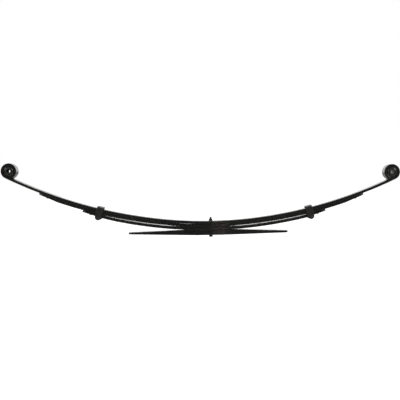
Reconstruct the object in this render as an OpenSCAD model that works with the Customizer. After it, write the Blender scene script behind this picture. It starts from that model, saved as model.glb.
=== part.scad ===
// Multi-leaf spring, three graduated leaves over one thick overload leaf.
// Frame: origin on the centre-bolt axis at the underside of the overload leaf,
// +X toward the short (front) half, +Y across the leaves, +Z up. Millimetres.

/* [Pack] */
// Width of every leaf across the vehicle
leaf_width = 63.5; // [45:0.5:90]
// Thickness of each graduated leaf
leaf_thickness = 10; // [6:0.1:14]
// Thickness of the spacers and tip pads, which is the gap between leaves
leaf_gap = 1.2; // [0.5:0.1:4]
// Small chamfer along every rolled leaf edge
edge_chamfer = 1.2; // [0:0.1:3]

/* [Eyes] */
// Bolt axis to the front eye centre, the short half
short_half = 660.4; // [450:0.1:900]
// Bolt axis to the rear eye centre, the long half
long_half = 729.4; // [450:0.1:950]
// Inside radius of the rolled eyes
eye_inner_radius = 18.5; // [12:0.5:30]
// Angle left open between the rolled end and the leaf
eye_opening = 54.5; // [52:0.5:80]

/* [Camber] */
// Radius of the main leaf top face between the bending axes
radius_seat = 1500; // [900:5:3000]
// Radius of the main leaf top face from the front bending axis to its eye
radius_front = 1645; // [900:5:3000]
// Radius of the main leaf top face from the rear bending axis to its eye
radius_rear = 1700; // [900:5:3000]

/* [Graduated leaves] */
// Second leaf tip from the bolt axis, front
second_front = 555; // [300:1:640]
// Second leaf tip from the bolt axis, rear
second_rear = 620; // [300:1:700]
// Third leaf tip from the bolt axis, front
third_front = 417; // [250:1:600]
// Third leaf tip from the bolt axis, rear
third_rear = 464; // [250:1:600]
// Length over which a tip is thinned
tip_length = 75; // [40:1:90]
// Thickness left at the very tip
tip_thickness = 5.5; // [3:0.1:10]
// Corner crop of each tip in plan
tip_crop = 11; // [0:0.5:25]

/* [Overload leaf] */
// Thickness at the centre bolt
overload_thickness = 17.4; // [10:0.1:30]
// Tip from the bolt axis, front
overload_front = 279; // [150:1:400]
// Tip from the bolt axis, rear
overload_rear = 299; // [150:1:400]
// Half length of the flat bearing face under the seat
seat_flat = 50; // [30:1:90]
// Reach of the hollowed top that follows the third leaf, front
hollow_front = 72; // [60:1:120]
// Reach of the hollowed top that follows the third leaf, rear
hollow_rear = 87; // [60:1:120]
// Fall of the front top face per millimetre
fall_front = 0.0365; // [0.02:0.0005:0.06]
// Fall of the rear top face per millimetre
fall_rear = 0.0265; // [0.02:0.0005:0.06]
// Rise of the front bottom face per millimetre
rise_front = 0.0185; // [0:0.0005:0.04]
// Rise of the rear bottom face per millimetre
rise_rear = 0.031; // [0:0.0005:0.04]

/* [Spacers] */
// Half length of the two upper spacers
upper_spacer_half = 60; // [30:1:100]
// Reach of the lower spacer toward the front
lower_spacer_front = 75; // [30:1:120]
// Reach of the lower spacer toward the rear
lower_spacer_rear = 95; // [30:1:120]

/* [Centre bolt] */
// Shank diameter
bolt_diameter = 8; // [6:0.5:16]
// Round head diameter
bolt_head_diameter = 13; // [8:0.5:25]
// Head height below the overload leaf
bolt_head_height = 7.5; // [3:0.1:15]
// Nut size across flats
nut_flats = 13; // [10:0.5:24]
// Nut height
nut_height = 6.7; // [4:0.1:15]
// Stud left showing above the nut
bolt_stud = 7; // [0:0.5:30]
// Diameter of the holes through the leaves
bolt_hole = 8.8; // [6.5:0.1:18]

/* [Bushes] */
// Metal shell wall
shell_wall = 1.5; // [0.5:0.1:4]
// How far each end of the shell sits inside the leaf
shell_inset = 1; // [0.5:0.1:3]
// How far the rubber stands out of the leaf at each end
rubber_proud = 0.5; // [0:0.1:1]
// Gap between the rubber's end flange and the eye
flange_gap = 0.3; // [0.1:0.1:1]
// Inner sleeve outside diameter
sleeve_diameter = 22; // [14:0.5:40]
// Front sleeve bore
front_bore = 11; // [8:0.1:20]
// Rear sleeve bore
rear_bore = 14.8; // [8:0.1:20]
// Sleeve length
sleeve_length = 71; // [60:0.5:100]
// Radial play left between a sleeve and its rubber
sleeve_play = 0.05; // [0.01:0.01:0.1]

/* [Rebound clips] */
// Front clip from the bolt axis
front_clip_at = 357; // [200:1:450]
// Rear clip from the bolt axis
rear_clip_at = 400; // [200:1:500]
// Strap width along the leaf
clip_width = 23; // [15:0.5:50]
// Strap thickness
clip_thickness = 5; // [3:0.5:8]
// Clear height between the main leaf and the strap
clip_clearance = 3; // [1:0.5:10]
// Leg reach below the third leaf
clip_reach = 10.5; // [8:0.5:25]
// Rivet shank diameter
rivet_diameter = 7; // [4:0.5:12]
// Rivet head diameter
rivet_head = 11; // [6:0.5:20]

/* [Tip pads] */
// Pad diameter between the leaves
pad_diameter = 34; // [15:1:60]
// Peg diameter through the leaf
peg_diameter = 6; // [4:0.5:10]
// Peg head diameter
peg_head = 9; // [8:0.5:14]
// Peg head height under the leaf
peg_head_height = 3; // [2:0.1:6]
// Pad centre back from the leaf tip
pad_setback = 28; // [20:1:36]

/* [Bending joints] */
// Bolt axis to the bending axis of each half
pivot_at = 175; // [110:1:300]
// Cut left between the seat part and the arm part of each leaf
joint_cut = 2.4; // [1:0.1:6]

/* [Hidden] */
arc_fn = 256;
round_fn = 96;
half_w = leaf_width / 2;
pitch = leaf_thickness + leaf_gap;
top_z = overload_thickness + 3 * pitch;
eye_overlap = 0.8;
pack_depth = 3 * leaf_thickness + 2 * leaf_gap;
pivot_heading = asin(pivot_at / (radius_seat + pack_depth));
cut_heading = joint_cut / 2 / (radius_seat + pack_depth) * 180 / PI;
seat_centre = [0, top_z + radius_seat];
// $arm is the radius of the half being drawn, set by front_side and rear_side
$arm = radius_front;
// both arcs share the normal at the bending axis, so the face runs on smoothly
function arm_centre() = seat_centre + ($arm - radius_seat) * [-sin(pivot_heading), cos(pivot_heading)];

// heading of the face that lies depth below the main leaf top, at distance x from the bolt axis
function heading_at(x, depth) =
    x <= (radius_seat + depth) * sin(pivot_heading) ? asin(x / (radius_seat + depth)) :
    asin((x - arm_centre()[0]) / ($arm + depth));
// the underside of a tip is one straight cut, so its height in the tip's own frame
// runs evenly from the full leaf, tip_length back, to tip_thickness at the tip
function cut_start(depth) = pow(tip_length, 2) / 2 / ($arm + depth) - leaf_thickness;
function cut_at(back, depth) = -tip_thickness + (cut_start(depth) + tip_thickness) * back / tip_length;
// thickness of the leaf at a distance back from its tip
function wall_at(back, depth) = pow(back, 2) / 2 / ($arm + depth) - cut_at(back, depth);
function arm_point(heading, depth) = arm_centre() + ($arm + depth) * [sin(heading), -cos(heading)];
// heading at which the main leaf runs into an eye at distance x
function eye_heading(x) = asin((x - arm_centre()[0]) / ($arm - eye_inner_radius));
function eye_centre(x) = arm_centre() + ($arm - eye_inner_radius) * [sin(eye_heading(x)), -cos(eye_heading(x))];

// the section of a rolled bar, drawn from radius r outward
module bar_section(r, t, w) {
    c = min(edge_chamfer, t / 3);
    polygon([[r + c, -w / 2], [r + t - c, -w / 2], [r + t, -w / 2 + c], [r + t, w / 2 - c],
             [r + t - c, w / 2], [r + c, w / 2], [r, w / 2 - c], [r, -w / 2 + c]]);
}

module flat_section(r, t, w) translate([r, -w / 2]) square([t, w]);

// a curved strip in the XZ plane between two headings, depth below the main leaf top
module strip(c, r, from, to, t, w, rolled = true)
    translate([c[0], 0, c[1]]) rotate([90, 0, 0]) rotate([0, 0, from - 90])
        rotate_extrude(angle = to - from, $fn = arc_fn)
            if (rolled) bar_section(r, t, w);
            else flat_section(r, t, w);

module seat_strip(from, to, depth, t, w, rolled = true)
    strip(seat_centre, radius_seat + depth, from, to, t, w, rolled);
module arm_strip(from, to, depth, t, w, rolled = true)
    strip(arm_centre(), $arm + depth, from, to, t, w, rolled);

// local frame on a leaf face: X along the leaf outward, Z away from the pack
module on_leaf(heading, depth) {
    p = arm_point(heading, depth);
    translate([p[0], 0, p[1]]) rotate([0, -heading, 0]) children();
}

module front_side() {
    $arm = radius_front;
    children();
}

module rear_side() {
    $arm = radius_rear;
    mirror([1, 0, 0]) children();
}

module bolt_way() translate([0, 0, -1]) cylinder(d = bolt_hole, h = top_z + 20, $fn = round_fn);

// centre length of one leaf, between the two bending axes
module leaf_seat(depth) difference() {
    seat_strip(-(pivot_heading - cut_heading), pivot_heading - cut_heading, depth, leaf_thickness, leaf_width);
    bolt_way();
}

// main leaf arm with its rolled eye
module main_arm(x) {
    h = eye_heading(x);
    c = eye_centre(x);
    arm_strip(pivot_heading + cut_heading, h, 0, leaf_thickness, leaf_width);
    // the roll starts a hair back inside the leaf, so the two are one solid
    translate([c[0], 0, c[1]]) rotate([90, 0, 0]) rotate([0, 0, h - 90 - eye_overlap])
        rotate_extrude(angle = 360 - eye_opening + eye_overlap, $fn = 180)
            bar_section(eye_inner_radius, leaf_thickness, leaf_width);
}

// graduated leaf arm with a thinned, cropped tip and a peg hole
module tapered_arm(x, depth) {
    h = heading_at(x, depth);
    difference() {
        arm_strip(pivot_heading + cut_heading, h, depth, leaf_thickness, leaf_width);
        on_leaf(h, depth) {
            translate([0, half_w + 5, 0]) rotate([90, 0, 0]) linear_extrude(leaf_width + 10)
                polygon([[-tip_length, cut_start(depth)], [1, cut_at(-1, depth)],
                         [1, -leaf_thickness - 5], [-tip_length, -leaf_thickness - 5]]);
            for (s = [-1, 1]) translate([0, s * half_w, -leaf_thickness - 3])
                rotate([0, 0, 45]) translate([-tip_crop / sqrt(2), -tip_crop / sqrt(2), 0])
                    cube([tip_crop * sqrt(2), tip_crop * sqrt(2), leaf_thickness + 8]);
        }
        pad_frame(x, depth) translate([0, 0, -leaf_thickness - 2])
            cylinder(d = peg_diameter, h = leaf_thickness + 6, $fn = round_fn);
    }
}

module pad_frame(x, depth) on_leaf(heading_at(x - pad_setback, depth), depth) children();

// low-friction pad on top of a leaf tip, held by its own peg
module tip_pad(x, depth) {
    h = heading_at(x - pad_setback, depth);
    intersection() {
        arm_strip(h - 2, h + 2, depth - leaf_gap, leaf_gap, leaf_width, false);
        pad_frame(x, depth) translate([0, 0, -5]) cylinder(d = pad_diameter, h = 10, $fn = round_fn);
    }
    // the head hangs just clear of the sloping underside
    seat = wall_at(pad_setback, depth) + 0.35;
    low = -seat - peg_head_height;
    pad_frame(x, depth) rotate_extrude($fn = round_fn)
        polygon([[0, low], [peg_head / 2 - 1.2, low], [peg_head / 2, low + 1.2], [peg_head / 2, -seat],
                 [peg_diameter / 2, -seat], [peg_diameter / 2, 0.6], [0, 0.6]]);
}

// inverted U in the YZ plane, corners bent round
module clip_outline() {
    out_w = half_w + clip_thickness;
    top = clip_clearance + clip_thickness;
    low = -pack_depth - clip_reach;
    bend = clip_thickness + 5;
    difference() {
        union() {
            translate([-out_w, low]) square([2 * out_w, top - bend - low]);
            translate([-out_w + bend, low]) square([2 * (out_w - bend), top - low]);
            for (s = [-1, 1]) translate([s * (out_w - bend), top - bend]) circle(r = bend, $fn = round_fn);
        }
        translate([-half_w, low - 1]) square([leaf_width, top - bend - low + 1]);
        translate([-half_w + 5, low - 1]) square([leaf_width - 10, clip_clearance - low + 1]);
        for (s = [-1, 1]) translate([s * (half_w - 5), clip_clearance - 5]) circle(r = 5, $fn = round_fn);
    }
}

module clip_strap(x) on_leaf(heading_at(x, 0), 0) difference() {
    intersection() {
        rotate([90, 0, 90]) translate([0, 0, -clip_width / 2]) linear_extrude(clip_width) clip_outline();
        rotate([90, 0, 0]) translate([0, 0, -60]) linear_extrude(120) union() {
            translate([-clip_width / 2, -pack_depth - clip_reach + clip_width / 2])
                square([clip_width, pack_depth + clip_reach - clip_width / 2 + 20]);
            translate([0, -pack_depth - clip_reach + clip_width / 2]) circle(d = clip_width, $fn = round_fn);
        }
    }
    translate([0, 0, -pack_depth - 5]) rotate([90, 0, 0])
        translate([0, 0, -60]) cylinder(d = rivet_diameter, h = 120, $fn = round_fn);
}

module clip_rivet(x) on_leaf(heading_at(x, 0), 0) translate([0, 0, -pack_depth - 5]) rotate([90, 0, 0]) {
    out_w = half_w + clip_thickness;
    translate([0, 0, -out_w]) cylinder(d = rivet_diameter, h = 2 * out_w, $fn = round_fn);
    for (s = [0, 1]) mirror([0, 0, s]) translate([0, 0, out_w]) {
        cylinder(d = rivet_head, h = 1, $fn = round_fn);
        translate([0, 0, 1]) cylinder(d1 = rivet_head, d2 = rivet_head - 4, h = 1.4, $fn = round_fn);
    }
}

module ring_y(x, outer, inner, length) {
    c = eye_centre(x);
    translate([c[0], 0, c[1]]) rotate([90, 0, 0]) translate([0, 0, -length / 2]) difference() {
        cylinder(r = outer, h = length, $fn = round_fn);
        translate([0, 0, -1]) cylinder(r = inner, h = length + 2, $fn = round_fn);
    }
}

shell_inner = eye_inner_radius - shell_wall;
rubber_inner = sleeve_diameter / 2 + sleeve_play;

module bush_shell(x) ring_y(x, eye_inner_radius, shell_inner, leaf_width - 2 * shell_inset);

// rubber ring with an end flange that covers the shell
module bush_rubber(x) {
    c = eye_centre(x);
    flange = eye_inner_radius - flange_gap;
    end = half_w + rubber_proud;
    lap = half_w - shell_inset;
    translate([c[0], 0, c[1]]) rotate([90, 0, 0]) rotate_extrude($fn = round_fn)
        polygon([[rubber_inner, -end], [flange, -end], [flange, -lap], [shell_inner, -lap],
                 [shell_inner, lap], [flange, lap], [flange, end], [rubber_inner, end]]);
}

module bush_sleeve(x, bore) ring_y(x, sleeve_diameter / 2, bore / 2, sleeve_length);

module spacer(depth, rear, front) difference() {
    seat_strip(-heading_at(rear, depth), heading_at(front, depth), depth, leaf_gap, leaf_width - 1, false);
    bolt_way();
}

// ---- seat, held at the axle ----
module main_leaf_seat() color([0.10, 0.10, 0.11]) leaf_seat(0);
module second_leaf_seat() color([0.12, 0.12, 0.12]) leaf_seat(pitch);
module third_leaf_seat() color([0.10, 0.10, 0.10]) leaf_seat(2 * pitch);
module upper_spacer() color([0.25, 0.25, 0.26]) spacer(leaf_thickness, upper_spacer_half, upper_spacer_half);
module middle_spacer() color([0.25, 0.25, 0.26]) spacer(pitch + leaf_thickness, upper_spacer_half, upper_spacer_half);
module lower_spacer() color([0.25, 0.25, 0.26]) spacer(2 * pitch + leaf_thickness, lower_spacer_rear, lower_spacer_front);

// outline of half of the overload leaf seen from the side, x measured outward
function overload_half(reach, hollow, fall, rise) =
    let (hollow_z = seat_centre[1] - sqrt(pow(radius_seat + 3 * pitch, 2) - pow(hollow, 2)),
         end_top = hollow_z - fall * (reach - hollow),
         end_low = rise * (reach - seat_flat))
    [[seat_flat, 0], [reach - 2, end_low - rise * 2], [reach, end_low + 2],
     [reach, end_top - 2], [reach - 2, end_top + fall * 2], [hollow, hollow_z]];
overload_fore = overload_half(overload_front, hollow_front, fall_front, rise_front);
overload_aft = overload_half(overload_rear, hollow_rear, fall_rear, rise_rear);

module overload_leaf() color([0.13, 0.13, 0.13]) difference() {
    translate([0, half_w, 0]) rotate([90, 0, 0]) linear_extrude(leaf_width) difference() {
        polygon(concat(overload_fore, [for (i = [5 : -1 : 0]) [-overload_aft[i][0], overload_aft[i][1]]]));
        translate(seat_centre) circle(r = radius_seat + 3 * pitch, $fn = arc_fn);
    }
    for (e = [overload_front, -overload_rear], s = [-1, 1]) translate([e, s * half_w, -2])
        rotate([0, 0, 45]) translate([-tip_crop / sqrt(2), -tip_crop / sqrt(2), 0])
            cube([tip_crop * sqrt(2), tip_crop * sqrt(2), 40]);
    bolt_way();
}

nut_lift = pow(nut_flats / sqrt(3), 2) / 2 / radius_seat;

module centre_bolt() color([0.06, 0.06, 0.07]) {
    translate([0, 0, -bolt_head_height]) cylinder(d1 = bolt_head_diameter - 2, d2 = bolt_head_diameter, h = 1.2, $fn = round_fn);
    translate([0, 0, -bolt_head_height + 1.2]) cylinder(d = bolt_head_diameter, h = bolt_head_height - 1.2, $fn = round_fn);
    translate([0, 0, -0.5]) cylinder(d = bolt_diameter, h = top_z + nut_height + bolt_stud - 0.5, $fn = round_fn);
    translate([0, 0, top_z + nut_height + bolt_stud - 1]) cylinder(d1 = bolt_diameter, d2 = bolt_diameter - 2, h = 1, $fn = round_fn);
}

module centre_bolt_nut() color([0.35, 0.35, 0.36]) translate([0, 0, top_z + nut_lift]) difference() {
    intersection() {
        cylinder(d = nut_flats * 2 / sqrt(3), h = nut_height, $fn = 6);
        cylinder(r1 = nut_flats, r2 = nut_flats / sqrt(3) - 0.6, h = nut_height, $fn = round_fn);
    }
    translate([0, 0, -1]) cylinder(d = bolt_diameter, h = nut_height + 2, $fn = round_fn);
}

// ---- front arm ----
module main_leaf_front() color([0.10, 0.10, 0.11]) front_side() main_arm(short_half);
module second_leaf_front() color([0.12, 0.12, 0.12]) front_side() tapered_arm(second_front, pitch);
module third_leaf_front() color([0.10, 0.10, 0.10]) front_side() tapered_arm(third_front, 2 * pitch);
module second_front_pad() color([0.20, 0.20, 0.19]) front_side() tip_pad(second_front, pitch);
module third_front_pad() color([0.20, 0.20, 0.19]) front_side() tip_pad(third_front, 2 * pitch);
module front_clip() color([0.30, 0.30, 0.30]) front_side() clip_strap(front_clip_at);
module front_clip_rivet() color([0.40, 0.40, 0.40]) front_side() clip_rivet(front_clip_at);
module front_bush_shell() color([0.35, 0.35, 0.36]) front_side() bush_shell(short_half);
module front_bush_rubber() color([0.05, 0.05, 0.05]) front_side() bush_rubber(short_half);
module front_bush_sleeve() color([0.45, 0.45, 0.46]) front_side() bush_sleeve(short_half, front_bore);

// ---- rear arm ----
module main_leaf_rear() color([0.10, 0.10, 0.11]) rear_side() main_arm(long_half);
module second_leaf_rear() color([0.12, 0.12, 0.12]) rear_side() tapered_arm(second_rear, pitch);
module third_leaf_rear() color([0.10, 0.10, 0.10]) rear_side() tapered_arm(third_rear, 2 * pitch);
module second_rear_pad() color([0.20, 0.20, 0.19]) rear_side() tip_pad(second_rear, pitch);
module third_rear_pad() color([0.20, 0.20, 0.19]) rear_side() tip_pad(third_rear, 2 * pitch);
module rear_clip() color([0.30, 0.30, 0.30]) rear_side() clip_strap(rear_clip_at);
module rear_clip_rivet() color([0.40, 0.40, 0.40]) rear_side() clip_rivet(rear_clip_at);
module rear_bush_shell() color([0.35, 0.35, 0.36]) rear_side() bush_shell(long_half);
module rear_bush_rubber() color([0.05, 0.05, 0.05]) rear_side() bush_rubber(long_half);
module rear_bush_sleeve() color([0.45, 0.45, 0.46]) rear_side() bush_sleeve(long_half, rear_bore);

main_leaf_seat();
second_leaf_seat();
third_leaf_seat();
upper_spacer();
middle_spacer();
lower_spacer();
overload_leaf();
centre_bolt();
centre_bolt_nut();
main_leaf_front();
second_leaf_front();
third_leaf_front();
second_front_pad();
third_front_pad();
front_clip();
front_clip_rivet();
front_bush_shell();
front_bush_rubber();
front_bush_sleeve();
main_leaf_rear();
second_leaf_rear();
third_leaf_rear();
second_rear_pad();
third_rear_pad();
rear_clip();
rear_clip_rivet();
rear_bush_shell();
rear_bush_rubber();
rear_bush_sleeve();
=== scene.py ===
# %% [markdown]
# # A multi-leaf spring
# A leaf spring is a stack of bent steel bars. The longest bar, the main leaf, is
# rolled into an eye at each end; shorter leaves lie under it and share its load;
# a thick straight overload leaf waits below until the truck is heavily laden.
# One bolt through the middle holds the stack together.
# The engineering model is loaded first. It is the frame: it says where every
# part is and how it turns, and nothing in this lesson moves it.

# %% Load the frame
import math
import bmesh
import bpy
from mathutils import Matrix, Vector


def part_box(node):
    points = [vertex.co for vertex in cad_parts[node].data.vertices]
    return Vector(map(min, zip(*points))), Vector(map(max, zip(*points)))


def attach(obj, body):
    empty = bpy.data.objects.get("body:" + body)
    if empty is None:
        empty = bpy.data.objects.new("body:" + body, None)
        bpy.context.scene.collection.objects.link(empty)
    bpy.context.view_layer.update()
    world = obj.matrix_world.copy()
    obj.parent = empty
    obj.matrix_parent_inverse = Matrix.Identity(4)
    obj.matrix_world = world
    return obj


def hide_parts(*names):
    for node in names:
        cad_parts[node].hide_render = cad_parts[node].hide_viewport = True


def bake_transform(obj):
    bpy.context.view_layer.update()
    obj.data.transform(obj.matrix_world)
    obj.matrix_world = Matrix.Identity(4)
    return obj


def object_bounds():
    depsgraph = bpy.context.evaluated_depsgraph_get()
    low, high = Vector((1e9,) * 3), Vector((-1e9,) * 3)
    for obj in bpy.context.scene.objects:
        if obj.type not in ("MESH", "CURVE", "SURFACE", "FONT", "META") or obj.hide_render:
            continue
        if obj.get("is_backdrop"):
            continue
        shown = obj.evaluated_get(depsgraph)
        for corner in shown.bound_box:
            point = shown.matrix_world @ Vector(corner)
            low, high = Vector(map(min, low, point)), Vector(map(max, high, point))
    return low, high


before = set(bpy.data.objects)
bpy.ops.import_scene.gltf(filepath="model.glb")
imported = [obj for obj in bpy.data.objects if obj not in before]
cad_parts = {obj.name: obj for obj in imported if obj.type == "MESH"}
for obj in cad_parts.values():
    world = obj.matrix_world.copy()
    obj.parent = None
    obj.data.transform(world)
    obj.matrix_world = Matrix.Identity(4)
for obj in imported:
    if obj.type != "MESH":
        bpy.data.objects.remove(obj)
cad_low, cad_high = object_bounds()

print("size in mm:", [round(1000 * v) for v in cad_high - cad_low])

# %% [markdown]
# ## The drawing's main sizes
# Where a size can be read off a part of the frame it is read, so a change in the
# drawing carries over. The bending radii can't be read off a box, so they are
# repeated here, in metres.

# %% Sizes
MM = 0.001
HALF_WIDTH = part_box("main_leaf_seat")[1].y
LEAF = 10 * MM
GAP = 1.2 * MM
PITCH = LEAF + GAP
OVERLOAD = 17.4 * MM
PACK_TOP = OVERLOAD + 3 * PITCH
PACK_DEPTH = 3 * LEAF + 2 * GAP
SEAT_RADIUS = 1500 * MM
PIVOT_X = 175 * MM
EYE_INNER = 18.5 * MM
EDGE_ROUND = 2 * MM
CLIP_X = {"front": 357 * MM, "rear": 400 * MM}
TIP_X = {"second": {"front": 555 * MM, "rear": 620 * MM},
         "third": {"front": 417 * MM, "rear": 464 * MM}}
print("leaf half width %.2f mm, pack top %.1f mm" % (HALF_WIDTH / MM, PACK_TOP / MM))

# %% [markdown]
# ## One half of the spring as a pair of arcs
# Each half is a gentle arc over the axle seat that runs on into a flatter arc out
# to the eye. All the leaves share the same two centres, so any point on any leaf
# is a heading, which says how steeply the leaf climbs there, and a depth below
# the main leaf's top face. A small class holds that for the front and rear half.

# %% The half-spring curve
class Half:
    """One half of the spring, worked out as if it pointed forward."""
    def __init__(self, name, side, arm_radius, eye_x):
        self.name, self.side, self.radius, self.eye_x = name, side, arm_radius, eye_x
        self.turn = math.asin(PIVOT_X / (SEAT_RADIUS + PACK_DEPTH))
        self.seat_c = Vector((0, 0, PACK_TOP + SEAT_RADIUS))
        inward = Vector((-math.sin(self.turn), 0, math.cos(self.turn)))
        self.arm_c = self.seat_c + (arm_radius - SEAT_RADIUS) * inward
        self.eye_heading = math.asin((eye_x - self.arm_c.x) / (arm_radius - EYE_INNER))
        self.eye = self.point(self.eye_heading, -EYE_INNER)

    def point(self, heading, depth):
        """The place on a leaf where it climbs at this heading, this far below the main leaf's top."""
        c, r = (self.seat_c, SEAT_RADIUS) if heading <= self.turn else (self.arm_c, self.radius)
        return c + (r + depth) * Vector((math.sin(heading), 0, -math.cos(heading)))

    def heading_at(self, x, depth):
        """How steeply a leaf climbs at a distance from the bolt."""
        if x <= (SEAT_RADIUS + depth) * math.sin(self.turn):
            return math.asin(x / (SEAT_RADIUS + depth))
        return math.asin((x - self.arm_c.x) / (self.radius + depth))

    def world(self, v):
        """The same point or direction on the half's own side of the bolt."""
        return Vector((self.side * v.x, v.y, v.z))


front = Half("front", side=1, arm_radius=1645 * MM, eye_x=660.4 * MM)
rear = Half("rear", side=-1, arm_radius=1700 * MM, eye_x=729.4 * MM)
for half in (front, rear):
    low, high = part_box(half.name + "_bush_sleeve")
    middle = (low + high) / 2
    print(half.name, "eye off the frame by %.3f mm" % ((half.world(half.eye) - middle).length / MM))

# %% [markdown]
# ## Sweeping a rolled bar
# Spring steel comes as flat bar with rounded edges. A rounded rectangle carried
# along the curve gives that shape exactly, and it can thin and narrow on the way,
# which makes the leaf tips. A subdivided cube would round the edges unevenly.
# Each vertex also remembers how close it is to a rounded edge, in an attribute
# called edge, because that is where paint rubs thin.

# %% Cross-section and sweep
def rounded_section(half_width, thickness, corner, steps=4):
    """Points (across, up) with up from -thickness to 0, and how near each is to an edge."""
    r = min(corner, thickness * 0.49, half_width * 0.49)
    out = []
    for cx, cz, a0 in ((half_width - r, -r, 0), (-half_width + r, -r, 90),
                       (-half_width + r, r - thickness, 180), (half_width - r, r - thickness, 270)):
        for i in range(steps + 1):
            a = math.radians(a0 + 90 * i / steps)
            out.append((cx + r * math.cos(a), cz + r * math.sin(a), math.sin(math.pi * i / steps)))
    return out


def finish_mesh(name, bm, edge_values=None, sharp=50):
    """Turns a bmesh into an object in the row frame, smooth except over real corners."""
    bmesh.ops.recalc_face_normals(bm, faces=bm.faces)
    for e in bm.edges:
        e.smooth = len(e.link_faces) == 2 and e.calc_face_angle() < math.radians(sharp)
    for f in bm.faces:
        f.smooth = True
    mesh = bpy.data.meshes.new(name)
    bm.to_mesh(mesh)
    bm.free()
    if edge_values:
        mesh.attributes.new("edge", "FLOAT", "POINT").data.foreach_set("value", edge_values)
    obj = bpy.data.objects.new(name, mesh)
    bpy.context.scene.collection.objects.link(obj)
    obj.modifiers.new("even shading", "WEIGHTED_NORMAL").keep_sharp = True
    return obj


def join_rings(bm, rings, caps=True):
    """Quads from each ring of points to the next, with a flat cap on both ends where asked."""
    for a, b in zip(rings, rings[1:]):
        for i in range(len(a)):
            j = (i + 1) % len(a)
            bm.faces.new((a[i], a[j], b[j], b[i]))
    if caps:
        bm.faces.new(rings[0])
        bm.faces.new(rings[-1])


def sweep(name, stations, corner):
    """stations: (point on the top face, up direction, across direction, thickness, half width)."""
    bm, edges, rings = bmesh.new(), [], []
    for p, up, across, thickness, half_width in stations:
        ring = []
        for y, z, e in rounded_section(half_width, thickness, corner):
            ring.append(bm.verts.new(p + across * y + up * z))
            edges.append(e)
        rings.append(ring)
    join_rings(bm, rings)
    return finish_mesh(name, bm, edges)


ACROSS = Vector((0, 1, 0))
print("a section has", len(rounded_section(HALF_WIDTH, LEAF, EDGE_ROUND)), "points")

# %% [markdown]
# ## Turned parts
# Bolts, pads and bushes are round, so they are lathe work: a profile of radius
# and height spun about an axis. The profile may wind round a hollow, as for a
# tube. The axis is given by an origin and a direction, so the same helper serves
# for the upright bolt and for the bushes that lie across the leaves.

# %% Lathe
def lathe(name, profile, origin, axis, closed=False, steps=64, sharp=50):
    """profile: (radius, height) in metres. closed joins the last point to the first, for a tube."""
    turn = Vector((0, 0, 1)).rotation_difference(axis).to_matrix()
    bm, rings = bmesh.new(), []
    for r, z in profile:
        ring = []
        for i in range(steps if r > 0 else 1):
            a = 2 * math.pi * i / steps
            ring.append(bm.verts.new(origin + turn @ Vector((r * math.cos(a), r * math.sin(a), z))))
        rings.append(ring)
    if closed:
        rings.append(rings[0])
    for a, b in zip(rings, rings[1:]):
        for i in range(steps):
            j = (i + 1) % steps
            if len(a) == 1:
                bm.faces.new((a[0], b[j], b[i]))
            elif len(b) == 1:
                bm.faces.new((a[i], a[j], b[0]))
            else:
                bm.faces.new((a[i], a[j], b[j], b[i]))
    return finish_mesh(name, bm, sharp=sharp)


# %% [markdown]
# ## Node maths in plain Python
# Finishes are built from shader nodes. Wiring each Math node by hand is slow to
# read, so a small class wraps one output of a node, and Python's own + - * /
# add the Math nodes. Every other node comes from one method that sets the
# node's settings first and then its sockets, from numbers or from other wires.

# %% The wiring helper
class Wire:
    """One output of a node. Arithmetic on it adds Math nodes, from either side."""
    def __init__(self, bench, socket):
        self.bench, self.socket = bench, socket

    def _math(self, operation, a, b):
        return self.bench.node("ShaderNodeMath", {"operation": operation}, {0: a, 1: b})

    def __add__(self, other):
        return self._math("ADD", self, other)

    def __radd__(self, other):
        return self._math("ADD", other, self)

    def __sub__(self, other):
        return self._math("SUBTRACT", self, other)

    def __rsub__(self, other):
        return self._math("SUBTRACT", other, self)

    def __mul__(self, other):
        return self._math("MULTIPLY", self, other)

    def __rmul__(self, other):
        return self._math("MULTIPLY", other, self)

    def __truediv__(self, other):
        return self._math("DIVIDE", self, other)

    def __rtruediv__(self, other):
        return self._math("DIVIDE", other, self)

    def __pow__(self, other):
        return self._math("POWER", self, other)


class Bench:
    """A node tree to build on. Its one node method makes any node and hands back a wire."""
    def __init__(self, tree):
        self.tree = tree

    def node(self, kind, settings=None, inputs=None, output=0):
        made = self.tree.nodes.new(kind)
        for key, value in (settings or {}).items():
            setattr(made, key, value)
        for key, value in (inputs or {}).items():
            self.set(made.inputs[key], value)
        return Wire(self, made.outputs[output])

    def set(self, socket, value):
        if isinstance(value, Wire):
            self.tree.links.new(value.socket, socket)
        elif socket.type == "RGBA":
            socket.default_value = (*value, 1)
        else:
            socket.default_value = value


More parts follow.
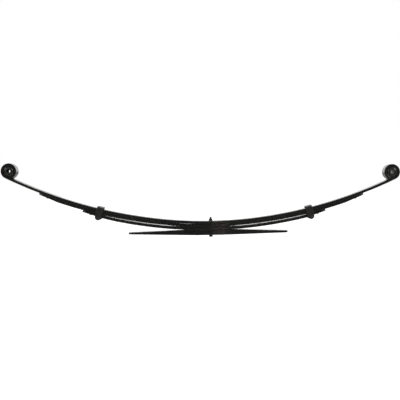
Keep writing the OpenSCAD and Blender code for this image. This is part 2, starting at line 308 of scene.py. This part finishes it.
class Finish(Bench):
    """A material with one Principled shader, and short names for the nodes most used."""
    def __init__(self, name, **constants):
        self.material = bpy.data.materials.new(name)
        self.material.use_nodes = True
        super().__init__(self.material.node_tree)
        self.shader = next(n for n in self.tree.nodes if n.type == "BSDF_PRINCIPLED")
        for key, value in constants.items():
            self.shader.inputs[key.replace("_", " ")].default_value = value

    def drive(self, **wires):
        for key, value in wires.items():
            self.set(self.shader.inputs[key.replace("_", " ")], value)
        return self.material

    def place(self):
        return self.node("ShaderNodeTexCoord", output="Object")

    def noise(self, scale, detail=3.0, rough=0.5, stretch=None):
        where = self.place()
        if stretch:
            where = self.node("ShaderNodeVectorMath", {"operation": "MULTIPLY"}, {0: where, 1: stretch})
        return self.node("ShaderNodeTexNoise", {},
                         {"Vector": where, "Scale": scale, "Detail": detail, "Roughness": rough})

    def between(self, wire, low, high, to_low=0.0, to_high=1.0):
        limits = {"From Min": low, "From Max": high, "To Min": to_low, "To Max": to_high}
        return self.node("ShaderNodeMapRange", {"clamp": True}, {"Value": wire, **limits})

    def mix(self, factor, a, b):
        return self.node("ShaderNodeMix", {"data_type": "RGBA"}, {0: factor, 6: a, 7: b}, output=2)

    def bump(self, height, strength, distance):
        return self.node("ShaderNodeBump", {},
                         {"Height": height, "Strength": strength, "Distance": distance})


print("wiring helper ready")

# %% [markdown]
# ## Spring paint
# Spring leaves are shot-peened, which leaves a fine dimpled skin, and then dipped
# or sprayed in thin black paint. It dries semi-gloss with slow cloudy changes of
# gloss, picks up a warm film of dust, shows faint lengthwise rolling marks, and
# rubs through to brown-grey steel on the rounded edges. Just forward of the bolt
# a patch is mixed toward the same lighter brown-grey and made a little rougher.
# Each of those is one noise at its own real size, all measured in metres in the
# object's own space, so neighbouring pieces match and nothing depends on unwrapping.

# %% Paint for the leaves
def spring_paint(name, black, dusty, worn, rough, wear=0.5, skin_depth=0.00004):
    """Three colours from clean paint to rubbed steel; wear is how readily the edges show it."""
    f = Finish(name, Specular_IOR_Level=0.2)
    clouds = f.noise(9.0, 5.0, 0.6)
    film = f.between(f.noise(38.0, 6.0, 0.62), 0.42, 0.72)
    marks = f.noise(1.0, 4.0, 0.6, stretch=(55.0, 900.0, 900.0))
    peened = f.noise(1500.0, 2.0, 0.5)
    speckle = f.between(f.noise(420.0, 3.0, 0.7), 0.58, 0.7)
    edge = f.node("ShaderNodeAttribute", {"attribute_name": "edge"}, output="Fac")
    rubbed = f.between(edge * (f.noise(120.0, 5.0, 0.7) + wear - 0.5), 0.42, 0.62)
    # a lighter, rougher patch just forward of the bolt, fading out over its last third
    along = f.node("ShaderNodeSeparateXYZ", {}, {0: f.place()})
    inside = f.between(along, 0.0, 0.02) * f.between(along, 0.05, 0.075, 1.0, 0.0)
    lighter_patch = inside * f.between(f.noise(160.0, 6.0, 0.65), 0.4, 0.62)
    paint = f.mix(f.between(clouds, 0.3, 0.75), black, dusty)
    paint = f.mix(film * 0.45, paint, dusty)
    paint = f.mix(speckle * 0.25, paint, worn)
    paint = f.mix(rubbed * 0.7, paint, worn)
    paint = f.mix(lighter_patch * 0.4, paint, worn)
    gloss = rough + (clouds - 0.5) * 0.2 + (marks - 0.5) * 0.1 + film * 0.05 + lighter_patch * 0.1
    skin = peened * 0.6 + marks * 0.4
    return f.drive(Base_Color=paint, Roughness=gloss, Normal=f.bump(skin, 0.35, skin_depth))


leaf_paint = spring_paint("leaf_paint", (0.0018, 0.0018, 0.0019), (0.005, 0.0047, 0.0042),
                          (0.05, 0.042, 0.034), 0.26)
overload_paint = spring_paint("overload_paint", (0.0011, 0.0012, 0.0016), (0.0032, 0.0032, 0.0033),
                              (0.05, 0.043, 0.037), 0.3, wear=0.55, skin_depth=0.00008)
clip_paint = spring_paint("clip_paint", (0.0045, 0.0044, 0.0042), (0.009, 0.0086, 0.0079),
                          (0.06, 0.054, 0.047), 0.4, wear=0.6, skin_depth=0.0001)
print("three paints made")

# %% [markdown]
# ## Hardware, rubber and plastic
# The bolt is oxidised black, the nut and rivets a dull dark grey, the bush tubes
# bare dark steel. Rubber is nearly black with a soft sheen; the tip pads are
# moulded plastic. They share one helper, with a grain that suits each, because at
# arm's length such parts differ in darkness and sheen more than in pattern.

# %% Other finishes
def fine_grain(name, dark, light, rough, grain, depth, metallic=0.0, specular=0.2):
    """Slow patches between two colours, over a bumped grain of so many bumps per metre."""
    f = Finish(name, Metallic=metallic, Specular_IOR_Level=specular)
    patches = f.noise(130.0, 5.0, 0.6)
    texture = f.noise(grain, 3.0, 0.55)
    colour = f.mix(f.between(patches, 0.35, 0.7), dark, light)
    return f.drive(Base_Color=colour, Roughness=rough + (patches - 0.5) * 0.3,
                   Normal=f.bump(texture, 0.4, depth))


bolt_black = fine_grain("bolt_black", (0.001, 0.001, 0.0011), (0.003, 0.0029, 0.0028),
                        0.6, 1400.0, 0.00006, specular=0.04)
nut_grey = fine_grain("nut_grey", (0.007, 0.007, 0.007), (0.02, 0.019, 0.018),
                      0.5, 1600.0, 0.00006, metallic=0.2)
bush_steel = fine_grain("bush_steel", (0.012, 0.012, 0.0125), (0.04, 0.038, 0.035),
                        0.38, 1500.0, 0.00005, metallic=0.4)
bush_rubber = fine_grain("bush_rubber", (0.003, 0.003, 0.0033), (0.007, 0.007, 0.0073),
                         0.24, 800.0, 0.00002, specular=0.6)
pad_plastic = fine_grain("pad_plastic", (0.012, 0.012, 0.0115), (0.026, 0.026, 0.024),
                         0.5, 1100.0, 0.00008)
spacer_steel = fine_grain("spacer_steel", (0.0012, 0.0012, 0.0012), (0.003, 0.0029, 0.0027),
                          0.6, 1200.0, 0.00006, specular=0.05)
# near-black finish for the rear bore's faces: painted shade deep inside the bore
bore_painted_shade = fine_grain("bore_painted_shade", (0.003, 0.003, 0.003), (0.006, 0.0057, 0.0053),
                        0.95, 900.0, 0.0002, specular=0.05)
rivet_steel = fine_grain("rivet_steel", (0.006, 0.006, 0.0056), (0.016, 0.015, 0.0135),
                         0.45, 1300.0, 0.00006, metallic=0.2)
print(len(bpy.data.materials), "materials in the file")


def dress(obj, material):
    """Gives a piece its finish."""
    obj.data.materials.clear()
    obj.data.materials.append(material)


# %% [markdown]
# ## The main leaf
# Seen closely, the main leaf is one bar: an arc out to the eye, then rolled up
# and over until its cut end almost meets the leaf again. The stations follow the
# arc and then walk round the eye, with the top face on the inside of the roll.
# Each half is a mesh of its own, from the bolt to the eye, and they meet under the
# nut.

# %% Stations along a leaf
STEP = 8 * MM
TIP = 75 * MM
TIP_THICKNESS = 5.5 * MM
TIP_CROP_LENGTH, TIP_CROP = 13 * MM, 9 * MM
NOSE = 1.3 * MM
LAST_MARKS = (15, 12, 9, 6, 4, 2.4, 1.2, 0.4, 0)


def wall_at(back, radius):
    """Thickness of a lower leaf at a distance back from its tip, where a straight cut thins it."""
    if back > TIP:
        return LEAF
    slope = (LEAF - TIP_THICKNESS - TIP * TIP / 2 / radius) / TIP
    return TIP_THICKNESS + back * back / 2 / radius + slope * back


def round_nose(left, nose):
    """1 on the flat of a bar, falling along a quarter circle to 0 at its very end."""
    return math.sqrt(max(0, 1 - max(0, 1 - left / nose) ** 2))


def leaf_stations(half, reach, depth, tip=True, shift=None):
    """Stations from the bolt out to a reach; shift moves the leaf up by an amount at each x."""
    out = []
    end = half.heading_at(reach, depth)
    count = int(reach / STEP)
    marks = [end * i / count for i in range(count + 1)]
    if tip:
        per_metre = 1 / (half.radius + depth)
        keep = [m for m in marks if m < end - (TIP + 2 * MM) * per_metre]
        marks = keep + [end - TIP * i / 12 * per_metre for i in range(12, 2, -1)]
        marks += [end - d * MM * per_metre for d in LAST_MARKS]
    for h in marks:
        p = half.point(h, depth)
        up = Vector((-math.sin(h), 0, math.cos(h)))
        if shift:
            p = p + up * shift(half, p.x)
        left = (end - h) * (half.radius + depth)
        thickness, width = LEAF, HALF_WIDTH
        if tip:
            thickness = wall_at(left, half.radius + depth)
            width = HALF_WIDTH - TIP_CROP * max(0, 1 - left / TIP_CROP_LENGTH) ** 1.6
            lost = (1 - round_nose(left, NOSE)) * 1.2 * MM
            p = p - up * lost
            thickness -= 2 * lost
            width -= lost
        out.append((half.world(p), half.world(up), ACROSS, thickness, width))
    return out


def eye_stations(half, opening=26.0, step=5.0, fine_step=2.0, bedding_gap=0.35 * MM):
    """Round the eye; the last stretch is ground off on the outside so that it beds on the leaf."""
    out, angle = [], step
    while angle < 360 - opening + 0.01:
        a = half.eye_heading + math.radians(angle)
        outward = Vector((math.sin(a), 0, -math.cos(a)))
        room = EYE_INNER / max(0.2, math.cos(math.radians(360 - angle))) - EYE_INNER - bedding_gap
        thickness = min(LEAF, room) if angle > 270 else LEAF
        p = half.world(half.eye + outward * EYE_INNER)
        out.append((p, half.world(-outward), ACROSS, thickness, HALF_WIDTH))
        angle += step if angle + step < 300 else fine_step
    return out


def bend(obj):
    """Bakes the piece's placement into its mesh."""
    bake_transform(obj)


for half in (front, rear):
    reach = half.point(half.eye_heading, 0).x
    stations = leaf_stations(half, reach, 0, tip=False) + eye_stations(half)
    leaf = sweep("main_leaf_" + half.name + "_half", stations, EDGE_ROUND)
    dress(leaf, leaf_paint)
    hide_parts("main_leaf_" + half.name, *(["main_leaf_seat"] if half is front else []))
    bend(leaf)
    print(leaf.name, len(stations), "stations,", len(leaf.data.vertices), "vertices")

# %% [markdown]
# ## The second and third leaf
# The shorter leaves follow the same centres, further down. Away from the seat the
# second leaf closes up on the main leaf until they almost touch, and the third
# hangs a little low before its clip, which leaves a slit of light above it. The
# last 75 mm of each leaf is thinned by a straight cut from below, and the corners
# are cropped, which spreads the load where one leaf presses on the next.

# %% Lower leaves
def ease(t):
    """0 before t = 0, 1 after t = 1, and a soft step in between."""
    t = max(0.0, min(1.0, t))
    return t * t * (3 - 2 * t)


def ramp(x, start, run):
    """How far along a soft step a place is, where the step starts and runs as given."""
    return ease((x - start) / run)


SEAT_END = 60 * MM
CLOSE_UP, REAR_DIP = 0.8 * MM, 0.6 * MM
SAG, TIP_LIFT = 1.0 * MM, 0.6 * MM


def close_up(half, x):
    """The second leaf rises to the main leaf: at once at the front, after a small dip at the rear."""
    if half is front:
        return CLOSE_UP * ramp(x, SEAT_END, 18 * MM)
    dip = REAR_DIP * ramp(x, SEAT_END, 15 * MM)
    return (CLOSE_UP + REAR_DIP) * ramp(x, 85 * MM, 80 * MM) - dip


def sag(half, x):
    """The third leaf hangs a little low between its spacer and the clip, and its tip lifts again."""
    spacer_end, run = (78 * MM, 30 * MM) if half is front else (97 * MM, 60 * MM)
    return (SAG + TIP_LIFT) * ramp(x, 330 * MM, 80 * MM) - SAG * ramp(x, spacer_end, run)


lower_leaves = (("second", 1, close_up), ("third", 2, sag))
for layer, rank, shift in lower_leaves:
    for half in (front, rear):
        stations = leaf_stations(half, TIP_X[layer][half.name], rank * PITCH, shift=shift)
        leaf = sweep(layer + "_leaf_" + half.name + "_half", stations, EDGE_ROUND)
        dress(leaf, leaf_paint)
        node = layer + "_leaf_"
        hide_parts(node + half.name, *([node + "seat"] if half is front else []))
        bend(leaf)
        print(leaf.name, "reaches %.0f mm" % (TIP_X[layer][half.name] / MM))

# %% [markdown]
# ## The overload leaf
# This bar is rolled thick in the middle and tapers straight to both tips, on both
# faces, less steeply on one half than the other. Its middle is hollowed slightly
# on top so the third leaf beds down. It
# doesn't bend until the spring is nearly flat, so it rides rigidly on the seat.

# %% Overload leaf
FLAT_HALF = 50 * MM
OVERLOAD_CROP_LENGTH, OVERLOAD_CROP = 12 * MM, 9 * MM
OVERLOAD_NOSE = 3 * MM


def overload_faces(x):
    """(top, bottom) height at distance x, in metres."""
    ax = abs(x)
    deep = SEAT_RADIUS + 3 * PITCH
    middle = PACK_TOP + SEAT_RADIUS
    hollow, fall, rise = (72 * MM, 0.0365, 0.0185) if x > 0 else (87 * MM, 0.0265, 0.031)
    edge_z = middle - math.sqrt(deep * deep - hollow * hollow)
    top = middle - math.sqrt(deep * deep - ax * ax) if ax < hollow else edge_z - fall * (ax - hollow)
    return top, max(0.0, rise * (ax - FLAT_HALF))


low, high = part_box("overload_leaf")
end_marks = (0, 0.4, 1.2, 2.4, 4, 6, 9, 12, 16)
inset = 24 * MM
marks = [low.x + d * MM for d in end_marks]
marks += [low.x + inset + i * (high.x - low.x - 2 * inset) / 72 for i in range(73)]
marks += [high.x - d * MM for d in reversed(end_marks)]
stations = []
for x in marks:
    top, bottom = overload_faces(x)
    left = min(x - low.x, high.x - x)
    width = HALF_WIDTH - OVERLOAD_CROP * max(0, 1 - left / OVERLOAD_CROP_LENGTH) ** 1.8
    lost = (1 - round_nose(left, OVERLOAD_NOSE)) * 2 * MM
    top -= lost
    bottom += lost
    width -= 0.75 * lost
    stations.append((Vector((x, 0, top)), Vector((0, 0, 1)), ACROSS, top - bottom, width))
overload = sweep("overload_bar", stations, 1.8 * MM)
dress(overload, overload_paint)
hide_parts("overload_leaf")
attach(overload, "seat")
print("overload leaf is %.1f mm thick at the bolt" % ((overload_faces(0)[0] - overload_faces(0)[1]) / MM))

# %% [markdown]
# ## Spacers
# The three thin steel spacers keep the leaves apart where the axle clamps them.
# Their shape in the frame is already right, so only their finish changes.

# %% Spacers
for name in ("upper_spacer", "middle_spacer", "lower_spacer"):
    dress(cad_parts[name], spacer_steel)
print("spacers dressed")

# %% [markdown]
# ## The centre bolt and its nut
# The bolt's round head drops into a hole in the axle's seat. Its thread is a true
# helix: every point of a fine grid round the stud is moved in or out by how far it
# is along the thread. The nut is a six-sided prism whose corners are turned off.

# %% Bolt
SHANK = 4 * MM
HEAD_R, HEAD_H, HEAD_ROUND = 6.5 * MM, 7.5 * MM, 1.8 * MM
THREAD_PITCH, THREAD_DEPTH = 1.25 * MM, 0.5 * MM
SHANK_TOP = PACK_TOP - 2 * MM
bolt_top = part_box("centre_bolt")[1].z
head = [(0, -HEAD_H)]
for i in range(7):
    a = math.radians(15 * i)
    head.append((HEAD_R - HEAD_ROUND * (1 - math.sin(a)), -HEAD_H + HEAD_ROUND * (1 - math.cos(a))))
head += [(HEAD_R, -0.4 * MM), (HEAD_R - 0.4 * MM, 0), (SHANK, 0), (SHANK, SHANK_TOP), (0, SHANK_TOP)]


def threaded_stud(name, bottom, top, radius, thread_pitch, depth, steps=48):
    """A rod whose surface follows the thread, with a small chamfer at its top."""
    row, chamfer, cut = 0.14 * MM, 0.6 * MM, 0.5 * MM
    bm, rings, rows = bmesh.new(), [], int((top - bottom) / row)
    for k in range(rows + 1):
        z = bottom + (top - bottom) * k / rows
        ring = []
        for i in range(steps):
            a = 2 * math.pi * i / steps
            wave = abs(((z - bottom) / thread_pitch - i / steps) % 1.0 - 0.5) * 2
            r = radius - depth * (1 - wave) - max(0, 1 - (top - z) / chamfer) * cut
            ring.append(bm.verts.new((r * math.cos(a), r * math.sin(a), z)))
        rings.append(ring)
    join_rings(bm, rings)
    return finish_mesh(name, bm, sharp=80)


bolt_head = lathe("centre_bolt_head_and_shank", head, Vector(), Vector((0, 0, 1)))
stud = threaded_stud("centre_bolt_stud", SHANK_TOP - 0.5 * MM, bolt_top, SHANK, THREAD_PITCH, THREAD_DEPTH)
for piece in (bolt_head, stud):
    dress(piece, bolt_black)
    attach(piece, "seat")
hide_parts("centre_bolt")
print("bolt stands %.1f mm above the main leaf" % ((bolt_top - PACK_TOP) / MM))

# %% [markdown]
# ### The nut
# A standard nut for this bolt is a hexagon 13 mm across its flats. Turning its
# corners off on a lathe cuts each flat with a curved edge. Taking the smaller of
# the hexagon's radius and the lathe's radius at each height gives that same edge.

# %% Nut
NUT_FLATS = 13 * MM
NUT_CHAMFER = 0.6 * MM


def hex_nut(name, bottom, height, flats, bore, steps=96):
    """A six-sided prism whose corners are turned off, with a hole through it."""
    half_flat, corner = flats / 2, flats / math.sqrt(3)
    heights = [0, 0.35, 0.9, 1.6, height / MM - 1.6, height / MM - 0.9, height / MM - 0.35, height / MM]
    turned = [1.15, 0.6, 0.22, 0, 0, 0.22, 0.6, 1.15]
    bm, rings = bmesh.new(), []
    for z, cut in zip(heights, turned):
        ring = []
        for i in range(steps):
            a = 2 * math.pi * i / steps
            off = (math.degrees(a) + 30) % 60 - 30
            r = min(half_flat / math.cos(math.radians(off)), corner - cut * MM)
            ring.append(bm.verts.new((r * math.cos(a), r * math.sin(a), bottom + z * MM)))
        rings.append(ring)
    mouth = bore + NUT_CHAMFER
    for r, z in ((mouth, height), (bore, height - NUT_CHAMFER), (bore, NUT_CHAMFER), (mouth, 0)):
        ring = []
        for i in range(steps):
            a = 2 * math.pi * i / steps
            ring.append(bm.verts.new((r * math.cos(a), r * math.sin(a), bottom + z)))
        rings.append(ring)
    join_rings(bm, rings + rings[:1], caps=False)
    return finish_mesh(name, bm, sharp=25)


low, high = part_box("centre_bolt_nut")
nut = hex_nut("centre_nut", low.z, high.z - low.z, NUT_FLATS, SHANK - THREAD_DEPTH)
dress(nut, nut_grey)
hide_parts("centre_bolt_nut")
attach(nut, "seat")
print("nut is %.1f mm high" % ((high.z - low.z) / MM))

# %% [markdown]
# ## Bushes
# Each eye holds a pressed-in bush: a thin steel shell, a ring of moulded rubber,
# and a thick inner sleeve that the mounting bolt clamps. The rubber is moulded
# with a raised lip round the sleeve and a groove toward the shell. The sleeve
# turns with the frame's bracket, so it rides on its own body. The rear bore's
# faces get a second, near-black material, which is painted shade deep inside the
# bore; the front bore is as bright as the rest of its sleeve.

# %% Bushes
SLEEVE_R = 11 * MM
SHELL_WALL, SHELL_RECESS = 1.5 * MM, 3.5 * MM
RUBBER_CLEARANCE, RUBBER_CROWN = 2.1 * MM, 3 * MM


def bush_shell(half, c, axis):
    """The thin tube pressed into the eye, with its outer corners broken."""
    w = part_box(half.name + "_bush_shell")[1].y - SHELL_RECESS
    inner, soft = EYE_INNER - SHELL_WALL, 0.3 * MM
    profile = [(inner, -w), (EYE_INNER - soft, -w), (EYE_INNER, -w + soft),
               (EYE_INNER, w - soft), (EYE_INNER - soft, w), (inner, w)]
    return lathe(half.name + "_bush_tube", profile, c, axis, closed=True, steps=96)


def bush_ring(half, c, axis):
    """The rubber: a rounded crown at each end, and a groove between the crown and the shell."""
    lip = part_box(half.name + "_bush_rubber")[1].y
    rim_r = EYE_INNER - RUBBER_CLEARANCE
    crown_r = (rim_r - SLEEVE_R - 0.05 * MM) / 2
    side = []
    for i in range(19):
        a = math.radians(10 * i)
        side.append((rim_r - crown_r - crown_r * math.cos(a), lip - RUBBER_CROWN * (1 - math.sin(a))))
    side.append((rim_r, lip - RUBBER_CROWN - 4 * MM))
    profile = side + [(r, -z) for r, z in reversed(side)]
    return lathe(half.name + "_bush_rubber_ring", profile, c, axis, closed=True, steps=96, sharp=70)


def bush_core(half, c, axis, r0, bore_finish):
    """The thick inner sleeve. The faces of its bore get their own finish, as a second material."""
    end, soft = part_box(half.name + "_bush_sleeve")[1].y, 0.7 * MM
    profile = [(r0, -end + soft), (r0 + soft, -end), (SLEEVE_R - soft, -end), (SLEEVE_R, -end + soft),
               (SLEEVE_R, end - soft), (SLEEVE_R - soft, end), (r0 + soft, end), (r0, end - soft)]
    core = lathe(half.name + "_bush_core_tube", profile, c, axis, closed=True, steps=96)
    dress(core, bush_steel)
    core.data.materials.append(bore_finish)
    for face in core.data.polygons:
        middle = face.center - c
        if math.hypot(middle.x, middle.z) < r0 + 0.1 * MM:
            face.material_index = 1
    return core


# the rear bore's second, near-black material is painted shade inside the hole; the front bore keeps the
# sleeve's own finish
for half, bore, bore_finish in ((front, 11 * MM, bush_steel), (rear, 14.8 * MM, bore_painted_shade)):
    c, axis = half.world(half.eye), ACROSS
    shell = bush_shell(half, c, axis)
    ring = bush_ring(half, c, axis)
    core = bush_core(half, c, axis, bore / 2, bore_finish)
    dress(shell, bush_steel)
    dress(ring, bush_rubber)
    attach(shell, half.name + "_arm")
    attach(ring, half.name + "_arm")
    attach(core, half.name + "_bush_core")
    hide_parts(half.name + "_bush_shell")
    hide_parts(half.name + "_bush_rubber")
    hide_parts(half.name + "_bush_sleeve")
    print(half.name, "bush bore %.1f mm" % (bore / MM))

# %% [markdown]
# ## Rebound clips
# A clip is a strip of strap steel bent into an upside-down U over the leaves, so
# that they can't fan apart when the wheel drops. Its legs end in round tips, held
# by a rivet across the underside. Clips and tip pads both stand square on a
# leaf, so one function works out where that is.

# %% Standing a part on a leaf
def on_leaf(half, heading, depth):
    """A matrix with X along the leaf, Y across and Z up from it, at a point on one half."""
    p, up = half.point(heading, depth), Vector((-math.sin(heading), 0, math.cos(heading)))
    along = half.world(Vector((math.cos(heading), 0, math.sin(heading))))
    up, p = half.world(up), half.world(p)
    m = Matrix((along, ACROSS, up)).transposed().to_4x4()
    m.translation = p
    return m


# %% [markdown]
# ### The strap and its rivet
# The strap's path is worked out once, flat, across the spring: up one leg, round
# a bend, over the top, and down the other leg. A matrix then stands it square on
# the leaf, since the leaf climbs there. The rivet is turned, with a domed head.

# %% Clip strap
STRAP, STRAP_HALF = 5 * MM, 11.5 * MM
CLIP_REACH = 10.5 * MM
CLIP_ROOM = 3 * MM


def clip_path():
    """(across, up, outward normal) along the strap's outer face, and the height of its leg tips."""
    side, top = HALF_WIDTH + STRAP, CLIP_ROOM + STRAP
    low, bend_r = -PACK_DEPTH - CLIP_REACH, STRAP + 5 * MM
    leg = top - bend_r - low
    rounding = (0, 0.15, 0.5, 1, 1.8, 3, 4.5, 6.5, 9, 11.5)
    half_path = [(side, low + d * MM, (1, 0)) for d in rounding]
    half_path += [(side, low + STRAP_HALF + (leg - STRAP_HALF) * i / 5, (1, 0)) for i in range(1, 6)]
    for i in range(1, 9):
        a = math.radians(90 * i / 8)
        out = (math.cos(a), math.sin(a))
        half_path.append((side - bend_r + bend_r * out[0], top - bend_r + bend_r * out[1], out))
    other = [(-y, z, (-n[0], n[1])) for y, z, n in reversed(half_path)]
    return half_path + [(0, top, (0, 1))] + other, low


def clip(half, x):
    """The strap over one half, and the matrix that stands it on the leaf."""
    path, low = clip_path()
    m = on_leaf(half, half.heading_at(x, 0), 0)
    stations = []
    for y, z, (ny, nz) in path:
        up = m.to_3x3() @ Vector((0, ny, nz))
        rise = z - low
        width = STRAP_HALF * math.sqrt(max(0.004, 1 - max(0, 1 - rise / STRAP_HALF) ** 2))
        stations.append((m @ Vector((0, y, z)), up, m.to_3x3() @ Vector((1, 0, 0)), STRAP, width))
    strap = sweep(half.name + "_clip_strap", stations, 1.1 * MM)
    dress(strap, clip_paint)
    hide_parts(half.name + "_clip")
    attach(strap, half.name + "_arm")
    return strap, m


def rivet(half, m):
    """A round bar across the underside of the pack, with a domed head outside each leg."""
    side, shank = HALF_WIDTH + STRAP, 3.5 * MM
    dome = [(5.5, 0), (5.5, 0.6), (5.1, 1.3), (4.2, 1.9), (2.8, 2.25), (1.3, 2.38), (0, 2.4)]
    profile = [(r * MM, side + z * MM) for r, z in reversed(dome)]
    profile += [(shank, side), (shank, -side)]
    profile += [(r * MM, -side - z * MM) for r, z in dome]
    centre = m @ Vector((0, 0, -PACK_DEPTH - 5 * MM))
    piece = lathe(half.name + "_clip_cross_rivet", profile, centre, ACROSS, steps=40)
    dress(piece, rivet_steel)
    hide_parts(half.name + "_clip_rivet")
    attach(piece, half.name + "_arm")


for half in (front, rear):
    strap, m = clip(half, CLIP_X[half.name])
    rivet(half, m)
    print(strap.name, "at %.0f mm from the bolt" % (CLIP_X[half.name] / MM))

# %% [markdown]
# ## Tip pads
# A round pad of slippery plastic sits on each lower leaf's tip so the leaves can
# slide without squeaking. A peg runs down through a hole in the leaf and ends in
# a small button below, which is all that shows from the side.

# %% Tip pads
PAD_SETBACK = 28 * MM
PAD_R, PEG_R, BUTTON_R, BUTTON_H = 17 * MM, 3 * MM, 4.5 * MM, 3 * MM


def tip_pad(layer, rank, half, shift):
    """The disc fills the gap above its own leaf, wherever that leaf lies; returns its thickness."""
    depth, tip_x = rank * PITCH, TIP_X[layer][half.name]
    heading = half.heading_at(tip_x - PAD_SETBACK, depth)
    m = on_leaf(half, heading, depth)
    lift = shift(half, tip_x)
    leaf_above = close_up(half, tip_x) if rank == 2 else 0
    disc = GAP - lift + leaf_above
    base = lift - wall_at(PAD_SETBACK, half.radius + depth) - 0.35 * MM
    button = base - BUTTON_H
    profile = [(0, button), (BUTTON_R - 1.4 * MM, button), (BUTTON_R - 0.6 * MM, button + 0.4 * MM),
               (BUTTON_R, button + 1.2 * MM), (BUTTON_R, base - 0.2 * MM), (BUTTON_R - 0.2 * MM, base),
               (PEG_R, base), (PEG_R, lift), (PAD_R - 0.4 * MM, lift), (PAD_R, lift + disc / 2),
               (PAD_R - 0.4 * MM, lift + disc), (0, lift + disc)]
    up = m.to_3x3() @ Vector((0, 0, 1))
    pad = lathe(layer + "_" + half.name + "_tip_pad", profile, m.translation, up, steps=48)
    dress(pad, pad_plastic)
    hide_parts(layer + "_" + half.name + "_pad")
    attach(pad, half.name + "_arm")
    return disc


for layer, rank, shift in lower_leaves:
    for half in (front, rear):
        thick = tip_pad(layer, rank, half, shift)
        print(layer, half.name, "pad is %.1f mm thick" % (thick / MM))

# %% [markdown]
# ## Camera
# The spring is looked at almost square on from a few metres away, from just
# above its seat, with the seat tilted by about a degree. A long lens at that
# distance keeps the arch's proportions.

# %% Camera
def look(position, target, lens, roll):
    """A camera at a place, aimed at a target, and rolled about its own axis."""
    data = bpy.data.cameras.new("studio_camera")
    data.lens, data.sensor_width = lens, 36
    data.clip_end = 200
    cam = bpy.data.objects.new("studio_camera", data)
    bpy.context.scene.collection.objects.link(cam)
    turn = (target - position).to_track_quat("-Z", "Y").to_matrix().to_4x4()
    cam.matrix_world = Matrix.Translation(position) @ turn @ Matrix.Rotation(roll, 4, "Z")
    bpy.context.scene.camera = cam
    return cam


camera = look(position=Vector((-0.021, -HALF_WIDTH - 4.45, 0.207)), target=Vector((-0.03734, 0, 0.12725)),
              lens=110.61, roll=-0.01954)
print("camera roll", round(math.degrees(camera.matrix_world.to_euler().y), 2))

# %% [markdown]
# ## Floor and studio light
# A pale floor lies well below the spring, which is held by its bolt head, so its
# shadow stays soft. It is white where the camera sees it and darker where the
# steel does, as in a studio where the paper is lit apart from the product. One
# softbox overhead gives the top faces broad reflections while the side faces stay
# dark. A softbox in front of each eye, out to the side and above, picks out the
# rims of the bushes.

# %% Floor and lamps
def floor_plane(height, size):
    """A sheet of studio paper, brighter to the camera than to the steel above it."""
    bm = bmesh.new()
    bmesh.ops.create_grid(bm, x_segments=1, y_segments=1, size=size)
    mesh = bpy.data.meshes.new("studio_floor")
    bm.to_mesh(mesh)
    bm.free()
    obj = bpy.data.objects.new("studio_floor", mesh)
    obj.location.z = height
    bpy.context.scene.collection.objects.link(obj)
    paper = Finish("floor_paper", Specular_IOR_Level=0.0, Emission_Strength=1.0)
    seen = paper.node("ShaderNodeLightPath", output="Is Camera Ray")
    shaded = paper.mix(paper.noise(0.7, 3.0), (0.4, 0.4, 0.4), (0.45, 0.45, 0.45))
    tone = paper.mix(seen, shaded, (0.9, 0.9, 0.9))
    glow = paper.mix(seen, (0, 0, 0), (0.3, 0.3, 0.3))
    matt = paper.between(paper.noise(3.0), 0, 1, 0.8, 0.95)
    obj.data.materials.append(paper.drive(Base_Color=tone, Emission_Color=glow, Roughness=matt))
    obj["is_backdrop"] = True


def lamp(name, place, aim, size, power):
    """A softbox at a place, turned to face its aim; size in metres, power in watts."""
    data = bpy.data.lights.new(name, "AREA")
    data.shape = "RECTANGLE"
    data.size, data.size_y = size
    data.energy = power
    obj = bpy.data.objects.new(name, data)
    obj.location = place
    obj.rotation_euler = (Vector(aim) - Vector(place)).to_track_quat("-Z", "Y").to_euler()
    bpy.context.scene.collection.objects.link(obj)


floor_plane(height=-0.62, size=60)
lamp("overhead_softbox", (0, 1.0, 3.2), (0, 0.2, 0.1), (4.0, 2.5), 190)
lamp("left_softbox", (-2.45, -1.43, 1.6), (-0.73, -0.03, 0.245), (0.9, 0.9), 75)
lamp("right_softbox", (2.38, -1.43, 1.57), (0.66, -0.03, 0.215), (0.9, 0.9), 105)

# %% [markdown]
# ## The surround
# The world is white to the camera. To the steel it is a gradient along the depth
# direction, dim in front and bright behind, which is what a studio wall does.

# %% Surround
world = bpy.data.worlds.new("studio")
bpy.context.scene.world = world
world.use_nodes = True
sky = Bench(world.node_tree)
sky.tree.nodes.clear()
where = sky.node("ShaderNodeTexCoord", output="Generated")
depth_way = sky.node("ShaderNodeSeparateXYZ", {}, {0: where}, output="Y")
behind = sky.node("ShaderNodeMapRange", {}, {"Value": depth_way, "From Min": -0.8, "From Max": 0.35,
                                             "To Min": 0.12, "To Max": 1.6})
surround = sky.node("ShaderNodeBackground", {}, {"Color": (1, 1, 1), "Strength": behind})
backdrop = sky.node("ShaderNodeBackground", {}, {"Color": (1, 1, 1), "Strength": 1.0})
seen = sky.node("ShaderNodeLightPath", output="Is Camera Ray")
both = sky.node("ShaderNodeMixShader", {}, {0: seen, 1: surround, 2: backdrop})
sky.set(sky.tree.nodes.new("ShaderNodeOutputWorld").inputs["Surface"], both)
bpy.context.scene.view_settings.view_transform = "Standard"
print("surround has", len(sky.tree.nodes), "nodes")

# %% Finish
low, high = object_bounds()
margins = list(cad_low - low) + list(high - cad_high)
print("larger than the frame by (mm)", [round(v / MM, 2) for v in margins])
